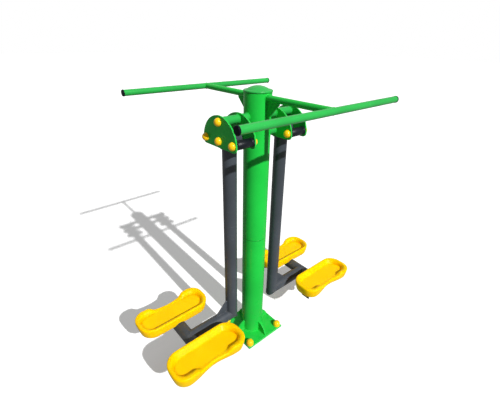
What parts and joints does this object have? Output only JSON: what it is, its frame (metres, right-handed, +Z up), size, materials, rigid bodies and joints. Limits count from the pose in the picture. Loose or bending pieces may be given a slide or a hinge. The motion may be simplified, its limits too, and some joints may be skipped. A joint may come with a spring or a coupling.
{
  "type": "outdoor side-swing trainer",
  "caption": "Park fitness post with twin parallel handlebars and two hanging arms whose foot pedals swing sideways between rubber stops.",
  "frame": {"origin": "middle of the base plate's underside, on the post's axis", "axes": "+Z up along the post, +X towards the right arm and its pedals, -Y to the front handlebar"},
  "size_m": [1.154, 0.755, 1.299],
  "materials": {
    "green_coat": "glossy green powder coat",
    "dark_coat": "satin dark grey powder coat",
    "yellow_moulding": "semi-gloss moulded yellow plastic",
    "amber_cap": "glossy amber yellow plastic",
    "black_rubber": "matt black rubber",
    "black_plastic": "matt black plastic",
    "steel": "zinc plated steel"
  },
  "bodies": {
    "frame": {"base_plate": "green_coat", "base_ribs": "green_coat", "anchor_caps": "amber_cap", "post_lower_tube": "green_coat", "post_seam_sleeve": "steel", "post_upper_tube": "green_coat", "post_cap": "green_coat", "support_front": "green_coat", "support_rear": "green_coat", "bar_gusset_front": "green_coat", "bar_gusset_rear": "green_coat", "handlebar_front": "green_coat", "handlebar_rear": "green_coat", "handlebar_plugs": "black_plastic", "carrier_tube_upper": "green_coat", "carrier_tube_lower": "green_coat", "bracket_left_inner": "green_coat", "bracket_left_outer": "green_coat", "bracket_right_inner": "green_coat", "bracket_right_outer": "green_coat", "bracket_spacers": "green_coat", "stop_sleeves": "black_rubber", "stop_cores": "steel", "stop_bolts": "steel", "tie_rod": "steel", "pivot_shaft": "steel", "pivot_spacers": "steel", "bracket_nuts": "steel", "bracket_caps": "amber_cap"},
    "arm_left": {"hub_left": "dark_coat", "bearings_left": "steel", "arm_tube_left": "dark_coat", "foot_tube_left": "dark_coat", "elbow_gusset_left": "dark_coat", "cross_tube_left": "dark_coat", "saddle_plates_left": "dark_coat", "pedal_bolts_left": "steel", "pedal_left_front": "yellow_moulding", "pedal_left_rear": "yellow_moulding"},
    "arm_right": {"hub_right": "dark_coat", "bearings_right": "steel", "arm_tube_right": "dark_coat", "foot_tube_right": "dark_coat", "elbow_gusset_right": "dark_coat", "cross_tube_right": "dark_coat", "saddle_plates_right": "dark_coat", "pedal_bolts_right": "steel", "pedal_right_front": "yellow_moulding", "pedal_right_rear": "yellow_moulding"}
  },
  "joints": [
    {"name": "swing_left", "type": "hinge", "parent": "frame", "child": "arm_left", "pos_m": [-0.145, 0, 1.11], "axis": [1, 0, 0], "range_deg": [-55, 55]},
    {"name": "swing_right", "type": "hinge", "parent": "frame", "child": "arm_right", "pos_m": [0.145, 0, 1.11], "axis": [1, 0, 0], "range_deg": [-55, 55]}
  ]
}
